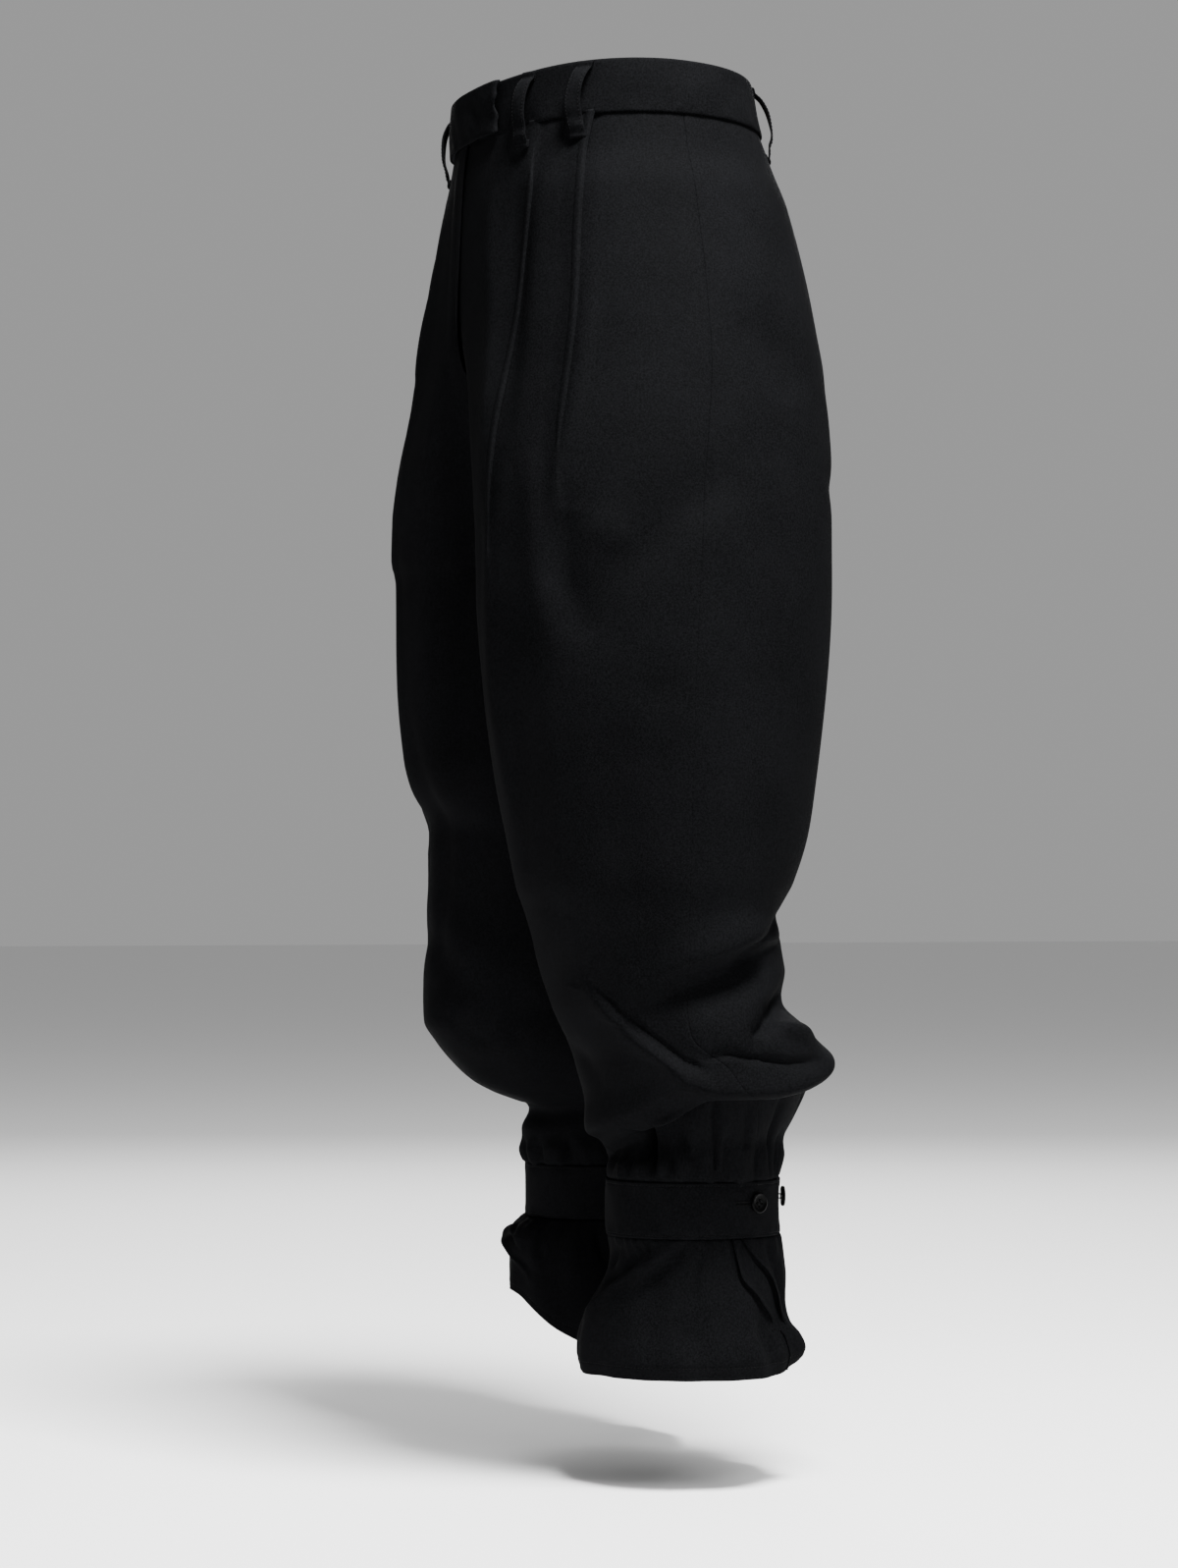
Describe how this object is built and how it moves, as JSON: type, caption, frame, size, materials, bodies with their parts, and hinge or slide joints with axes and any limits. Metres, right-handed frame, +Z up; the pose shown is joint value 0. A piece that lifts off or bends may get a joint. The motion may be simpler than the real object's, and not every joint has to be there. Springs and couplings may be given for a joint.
{
  "type": "balloon trousers",
  "caption": "High-waisted black balloon trousers, pleated in front, full in the leg, slumping over buttoned cuff bands with a flounce below each.",
  "frame": {"origin": "middle of the waist opening, at the height of the seam between the waistband and the trousers", "axes": "+Z up, -Y out of the trousers' front, +X to the wearer's left; metres"},
  "size_m": [0.4271, 0.2819, 0.9702],
  "materials": {
    "cloth": "close black twill, matt with a faint sheen along folds",
    "button": "polished black, four holes",
    "metal": "plain bright plated steel"
  },
  "bodies": {
    "root": {"front_left": "cloth", "front_right": "cloth", "back_left": "cloth", "back_right": "cloth", "fly_shield": "cloth", "waistband": "cloth", "belt_loop_front_left_inner": "cloth", "belt_loop_front_left_outer": "cloth", "belt_loop_back_left": "cloth", "belt_loop_front_right_inner": "cloth", "belt_loop_front_right_outer": "cloth", "belt_loop_back_right": "cloth", "cuff_left": "cloth", "cuff_right": "cloth", "flounce_left": "cloth", "flounce_right": "cloth", "button_holding_left": "button", "button_spare_left": "button", "button_holding_right": "button", "button_spare_right": "button", "waist_bar": "metal", "waist_hook": "metal"}
  },
  "joints": []
}
